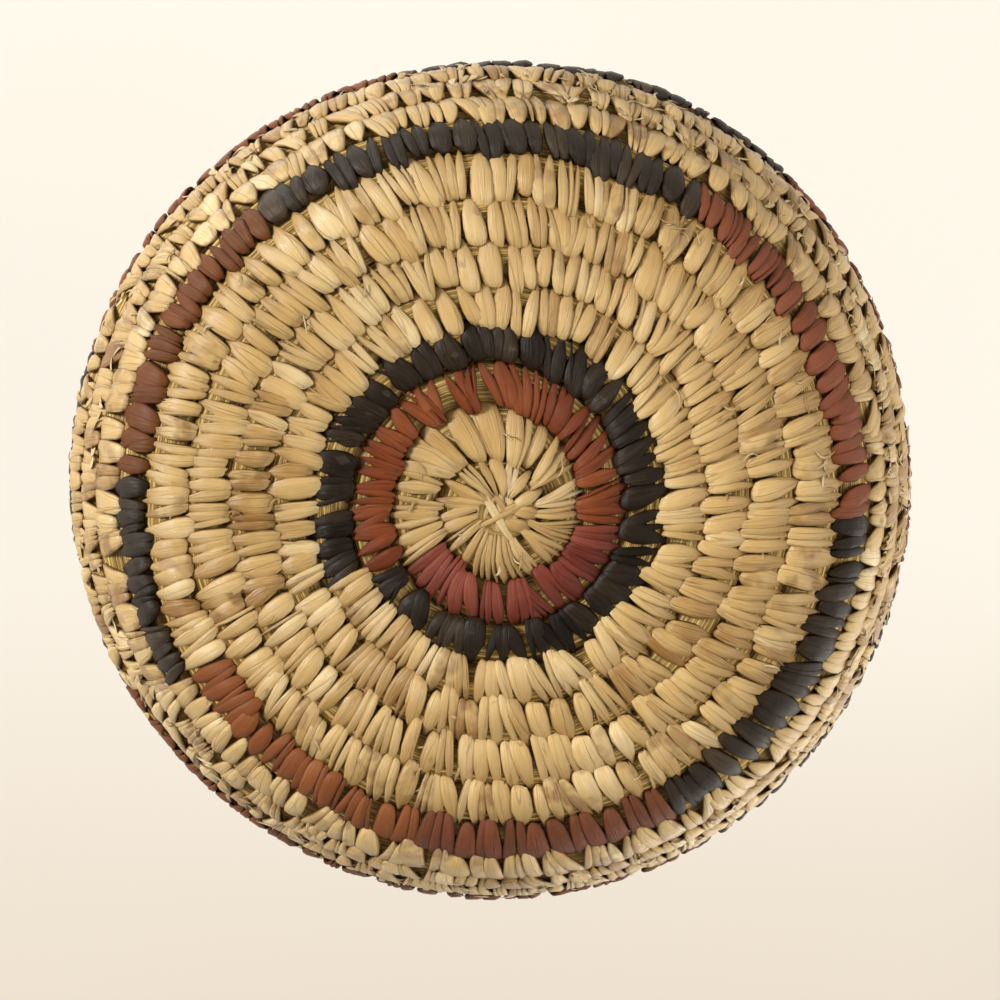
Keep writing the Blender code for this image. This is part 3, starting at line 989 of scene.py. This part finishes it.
# Where a colour gives way to another: two values, and the other colour's share at each of them
DEEP_TO_MIDDLE = (0.55, 0.95)
MIDDLE_TO_PALE = (0.90, 1.30)
# Painted shade in the creases
CREASE_SHADE = (0.0, 1.0, 0.38, 0.0)
PAINTED_OUTER_SHADE = (0.20, 0.54, 0.0, 0.5)  # of a stitch's way round: painted shade where it runs under the next row
# Painted shade at a stitch's edges, in the crevice to the next, partly the leaf's own browner edge
EDGE_SHADE = (0.37, 0.5, 0.0, 0.9)
SPOT_SHADE = (0.44, 0.64, 0.0, 0.9)
SPOTS_ON_STREAKS = (0.35, 0.6, 0.35, 1.0)
WORN_COLOUR = colour(184, 142, 70)
# Colour of the painted shade in creases and at stitch edges, and how far the deep colour goes to
# it
SHADE_COLOUR = (0.03, 0.012, 0.004, 1.0)
SHADE_DEPTH = 0.6
ROUGHER_STREAKS = (0.2, 0.8)  # between these values, and by how much
ROUGHER = 0.2


def leaf_strip(name, pale, middle, deep, stain, roughness, gloss):
    """A dry split leaf: silky, streaked along its length, a little darker at its edges, partly of
    itself and partly as painted shade, with painted shade in its creases and towards its outer
    end.
    """
    material = bpy.data.materials.new(name)
    nodes = Nodes(material)
    along, aside = nodes.uv()
    seed = nodes.math("MULTIPLY", nodes.attribute("seed"), SEEDS_APART)
    streak = nodes.noise(nodes.stretched(along, aside, FIBRES, seed), 1.0, 4.0, 0.6)
    fold = nodes.noise(nodes.stretched(along, aside, FOLDS, seed), 1.0, 0.0)
    crease = nodes.span(nodes.off_middle(fold), 0.0, CREASE_WIDTH)
    place = nodes.add("ShaderNodeTexCoord").outputs["Object"]
    patch = nodes.noise(place, PATCHES, 2.0)
    tone = nodes.math("MULTIPLY_ADD", streak, STREAK_TONE, nodes.attribute("tone"))
    tone = nodes.math("MULTIPLY_ADD", patch, PATCH_TONE, tone)
    base = nodes.blend(nodes.span(tone, *DEEP_TO_MIDDLE), deep, middle)
    base = nodes.blend(nodes.span(tone, *MIDDLE_TO_PALE), base, pale)
    # the painted shade's colour, for the creases and the stitch edges
    dark = nodes.blend(SHADE_DEPTH, deep, SHADE_COLOUR)
    # painted shade in the creases
    base = nodes.blend(nodes.span(crease, *CREASE_SHADE), base, dark)
    base = nodes.blend(nodes.attribute("wear"), base, WORN_COLOUR)
    # painted shade towards each stitch's outer end, where it runs under the next row
    base = nodes.blend(nodes.span(along, *PAINTED_OUTER_SHADE), base, deep)
    # darker edges: partly painted shade between stitches, partly the leaf's own browner edge
    base = nodes.blend(nodes.span(nodes.off_middle(aside), *EDGE_SHADE), base, dark)
    spots = nodes.span(nodes.noise(place, SPOTS, 2.0, 0.5), *SPOT_SHADE)
    spots = nodes.math("MULTIPLY", spots, nodes.span(streak, *SPOTS_ON_STREAKS))
    stained = nodes.math("MULTIPLY", spots, nodes.attribute("stain"))
    base = nodes.blend(stained, base, stain)
    height = nodes.math("MULTIPLY_ADD", crease, CREASE_RELIEF, streak)
    height = nodes.math("MULTIPLY_ADD", fold, FOLD_RELIEF, height)
    roughness = nodes.span(streak, *ROUGHER_STREAKS, roughness, roughness + ROUGHER)
    nodes.dry(base, roughness, gloss, height, strength=0.9, distance=0.00024)
    return material


# The grass: how often and how far its stems stray round the bundle, the grain along and across
# each, how much their tones differ, where they give way to the gap between them and how dark
# the painted shade in it is, and where the bundle's sides, in the valleys between rows, are
# darker than its top and bottom, as painted shade
STEM_WAVES = 60.0
STEM_STRAY = 0.03
GRAIN = (120.0, 1.7)
STEM_TONE = 0.45
STEM_DEEP_TO_PALE = (0.45, 0.95)
STEM_EDGE = (0.26, 0.5)
# How much painted shade darkens the gap between stems, and its colour
GAP_SHADE_SHARE = 0.55
GAP_SHADE_COLOUR = (0.06, 0.032, 0.008, 1.0)
GRAIN_RELIEF = 0.4
# Painted shade on the bundle's sides, in the valleys between rows: where it comes in, and its
# colour
SIDE_SHADE = (0.4, 0.95, 0.0, 0.3)
SIDE_SHADE_COLOUR = (0.18, 0.09, 0.02, 1.0)


def grass_stems(name, pale, deep):
    """Fine dry stems lying side by side, each of its own colour."""
    material = bpy.data.materials.new(name)
    nodes = Nodes(material)
    along, girth = nodes.uv()
    waves = nodes.vector(nodes.math("MULTIPLY", along, STEM_WAVES), girth)
    across = nodes.math("MULTIPLY_ADD", nodes.noise(waves, 1.0, 1.0), STEM_STRAY, girth)
    across = nodes.math("MULTIPLY", across, float(POINTS_ROUND))
    stem = nodes.math("FLOOR", across)
    shade = nodes.add("ShaderNodeTexWhiteNoise", {"noise_dimensions": "1D"}, W=stem)
    streak = nodes.noise(nodes.stretched(along, across, GRAIN), 1.0, 3.0)
    between = nodes.span(nodes.off_middle(nodes.math("FRACT", across)), *STEM_EDGE)
    tone = nodes.math("MULTIPLY_ADD", shade.outputs[0], STEM_TONE, streak)
    base = nodes.blend(nodes.span(tone, *STEM_DEEP_TO_PALE), deep, pale)
    # painted shade in the gaps between stems
    base = nodes.blend(nodes.math("MULTIPLY", between, GAP_SHADE_SHARE), base, GAP_SHADE_COLOUR)
    # painted shade on the bundle's sides, in the valleys between rows
    side = nodes.math("COSINE", nodes.math("MULTIPLY", girth, math.tau))
    side = nodes.span(nodes.math("ABSOLUTE", side), *SIDE_SHADE)
    base = nodes.blend(side, base, SIDE_SHADE_COLOUR)
    height = nodes.math("SUBTRACT", nodes.math("MULTIPLY", streak, GRAIN_RELIEF), between)
    nodes.dry(base, 0.6, 0.3, height, strength=0.8, distance=0.0002)
    return material


# Each leaf's pale, middle and deep colours and its stains', and how rough and glossy it is
FINISHES = {
    NATURAL: leaf_strip(
        "natural_leaf", colour(255, 229, 176), colour(219, 182, 116), colour(146, 100, 42),
        colour(122, 77, 32), 0.26, 0.65
    ),
    MAROON: leaf_strip(
        "maroon_leaf", colour(162, 86, 64), colour(127, 57, 41), colour(86, 32, 21),
        colour(70, 30, 24), 0.38, 0.25
    ),
    BRICK: leaf_strip(
        "brick_leaf", colour(166, 97, 54), colour(136, 66, 31), colour(92, 38, 16),
        colour(66, 30, 20), 0.38, 0.25
    ),
    DARK: leaf_strip(
        "dark_leaf", colour(86, 68, 48), colour(45, 34, 23), colour(24, 17, 11),
        colour(24, 18, 18), 0.32, 0.28
    ),
    "grass_bundle": grass_stems("grass_stems", colour(230, 195, 115), colour(148, 108, 48)),
}


# The camera looks up at the base, and a little across it, as the photograph does
CAMERA_AIM = (0.0, 0.0, HALF_THICKNESS)
CAMERA_DISTANCE = 0.460
CAMERA_ASIDE = math.radians(-1.2)
CAMERA_UP = math.radians(7.7)
CAMERA_LENS = 75.6
CAMERA_SHIFT = 0.0066


def camera():
    lens = bpy.data.cameras.new("camera")
    lens.lens = CAMERA_LENS
    lens.sensor_width = 36.0
    lens.shift_y = CAMERA_SHIFT
    lens.clip_start = 0.01
    eye = in_scene("camera", lens)
    sin_aside, cos_aside = math.sin(CAMERA_ASIDE), math.cos(CAMERA_ASIDE)
    sin_up, cos_up = math.sin(CAMERA_UP), math.cos(CAMERA_UP)
    back = np.array((sin_aside * cos_up, -sin_up, -cos_aside * cos_up))
    up = np.array((-sin_aside * sin_up, -cos_up, cos_aside * sin_up))
    turned = Matrix((np.cross(up, back), up, back)).transposed().to_4x4()
    place = np.array(CAMERA_AIM) + CAMERA_DISTANCE * back
    eye.matrix_world = Matrix.Translation(place) @ turned
    bpy.context.scene.camera = eye


# The lamps: place, power in watts and size
LAMPS = (
    ("window", (-1.28, -0.58, -0.62), 25.0, 0.40),
    ("room", (0.95, 0.10, -0.62), 9.5, 0.9),
    ("ceiling", (-0.45, -0.55, 1.05), 12.0, 0.8),
    ("far_side", (0.8, 0.7, 0.55), 5.0, 0.8),
)


def lamps():
    for name, place, power, size in LAMPS:
        light = bpy.data.lights.new(name, "AREA")
        light.energy = power
        light.size = size
        lamp = in_scene(name, light)
        lamp.location = place
        lamp.rotation_euler = (-Vector(place)).to_track_quat("-Z", "Y").to_euler()
        lamp.visible_camera = False


PAPER = colour(251, 244, 231)
# The backdrop's painted shade towards the lower edge of the picture, and between which y it comes
# in
SHADED_PAPER = colour(236, 224, 207)
SHADED_BETWEEN = (0.02, 0.22)
GLOW_SHARE = 0.42
AIR = (1.0, 0.97, 0.93, 1.0)
AIR_STRENGTH = 0.30
ROOM = colour(248, 241, 230)


def one_sided(name, seen, shaded):
    """Pale paper that only shows on its face, and lets the lamps behind it through.

    It turns from the first colour to the second, a painted shade, towards the lower edge of the
    picture.
    """
    material = bpy.data.materials.new(name)
    nodes = Nodes(material)
    back = nodes.add("ShaderNodeNewGeometry").outputs["Backfacing"]
    hidden = nodes.any_ray(("Is Shadow Ray", "Is Diffuse Ray"), back)
    place = nodes.add("ShaderNodeTexCoord").outputs["Object"]
    place = nodes.add("ShaderNodeSeparateXYZ", Vector=place)
    # painted shade towards the lower edge of the picture
    seen = nodes.blend(nodes.span(place.outputs[1], *SHADED_BETWEEN), seen, shaded)
    clear = nodes.add("ShaderNodeBsdfTransparent").outputs[0]
    sheet = nodes.add("ShaderNodeBsdfDiffuse", Color=seen).outputs[0]
    glow = nodes.add("ShaderNodeEmission", Color=seen, Strength=1.0).outputs[0]
    glowing = nodes.math("MULTIPLY", nodes.any_ray(("Is Camera Ray",)), GLOW_SHARE)
    nodes.surface(nodes.mix(hidden, nodes.mix(glowing, sheet, glow), clear))
    return material


def stage_sheet(name, radius, height, facing_down, material):
    bm = bmesh.new()
    bmesh.ops.create_circle(bm, cap_ends=True, segments=64, radius=radius)
    bmesh.ops.translate(bm, verts=bm.verts, vec=(0.0, 0.0, height))
    if facing_down:
        bmesh.ops.reverse_faces(bm, faces=bm.faces)
    mesh = new_mesh(name, bm)
    mesh.materials.append(material)
    in_scene(name, mesh)


def stage():
    stage_sheet("floor", 4.0, -0.0002, False, one_sided("floor_paper", PAPER, PAPER))
    paper = one_sided("backdrop_paper", PAPER, SHADED_PAPER)
    stage_sheet("backdrop", 0.32, 0.26, True, paper)
    world = bpy.context.scene.world or bpy.data.worlds.new("room")
    bpy.context.scene.world = world
    nodes = Nodes(world)
    seen = nodes.any_ray(("Is Camera Ray", "Is Glossy Ray", "Is Transmission Ray"))
    air = nodes.add("ShaderNodeBackground", Color=AIR, Strength=AIR_STRENGTH)
    room = nodes.add("ShaderNodeBackground", Color=ROOM, Strength=1.0)
    mixed = nodes.mix(seen, air.outputs[0], room.outputs[0])
    nodes.surface(mixed, "ShaderNodeOutputWorld")


def build():
    rng = np.random.default_rng(14)
    foundation_coil(rng)
    bent_start()
    start_knot(rng)
    stitches = lay_stitches(rng)
    start = START_TURN
    for name, end, slot in SEWING_RUNS:
        sewing(name, start, end, slot, stitches, rng)
        start = end
    loose_ends(stitches, rng)
    tail_binding(rng)
    camera()
    lamps()
    stage()
    bpy.context.scene.view_settings.view_transform = "Standard"


build()
